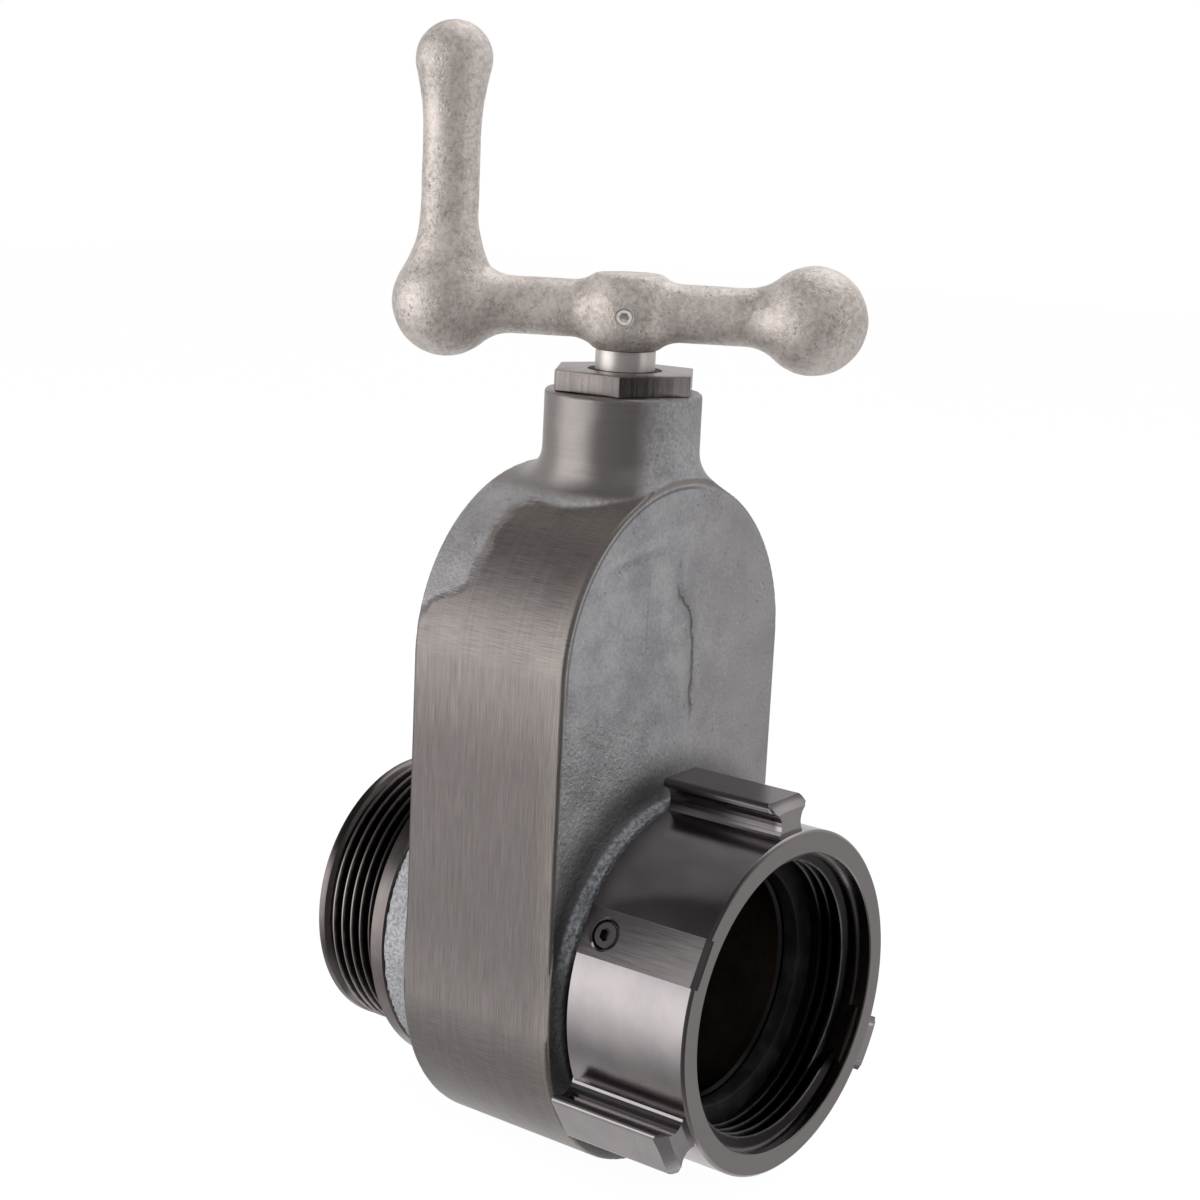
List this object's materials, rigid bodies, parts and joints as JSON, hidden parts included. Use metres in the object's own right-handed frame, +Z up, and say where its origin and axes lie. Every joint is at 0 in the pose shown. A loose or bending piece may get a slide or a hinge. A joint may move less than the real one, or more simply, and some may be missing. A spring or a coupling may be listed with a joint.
{
  "type": "fire hose gate valve",
  "caption": "Sliding gate valve for a fire hose: swivel female inlet with rocker lugs, male hose outlet, cast body, stainless stem and crank handle.",
  "frame": {"origin": "middle of the hydrant gasket's front face, at the inner end of the female thread", "axes": "+Y along the waterway from the hydrant side to the hose side, +Z up along the stem to the crank"},
  "size_m": [0.1025, 0.1337, 0.3026],
  "materials": {
    "cast_body": "cast, sides belt sanded",
    "dark_anodised": "turned and hard anodised",
    "rubber": "matt",
    "steel": "polished",
    "bronze": "machined",
    "cast_handle": "cast and blasted"
  },
  "bodies": {
    "body": {"valve_body": "cast_body", "tailpiece": "dark_anodised", "tailpiece_seal": "rubber", "inlet_seat": "rubber", "outlet_adapter": "dark_anodised", "adapter_seal": "rubber", "outlet_seat": "rubber", "lower_thrust_washer": "bronze", "upper_thrust_washer": "bronze", "bonnet_nut": "dark_anodised", "bonnet_seal": "rubber", "lower_stem_seal": "rubber", "upper_stem_seal": "rubber", "stem_wiper": "rubber"},
    "swivel": {"swivel_ring": "dark_anodised", "ball_plug": "steel", "hydrant_gasket": "rubber"},
    "ball_ring": {"swivel_balls": "steel"},
    "crank": {"stem": "steel", "crank_handle": "cast_handle", "handle_set_screw": "steel"},
    "gate_block": {"gate": "bronze", "gate_nut": "bronze", "gate_nut_screw": "steel"}
  },
  "joints": [
    {"name": "handle_turn", "type": "hinge", "parent": "body", "child": "crank", "pos_m": [0, 0.045, 0.16], "axis": [0, 0, 1], "range_deg": [0, 3000]},
    {"name": "gate_lift", "type": "slide", "parent": "body", "child": "gate_block", "axis": [0, 0, 1], "range_m": [0, 0.0706]},
    {"name": "swivel_spin", "type": "hinge", "parent": "body", "child": "swivel", "pos_m": [0, 0, 0], "axis": [0, 1, 0], "continuous": true},
    {"name": "ball_roll", "type": "hinge", "parent": "body", "child": "ball_ring", "pos_m": [0, 0, 0], "axis": [0, 1, 0], "continuous": true}
  ],
  "couplings": [
    {"joint": "gate_lift", "follows": "handle_turn", "m_per_rad": 0.0013464},
    {"joint": "ball_roll", "follows": "swivel_spin", "ratio": 0.5}
  ]
}
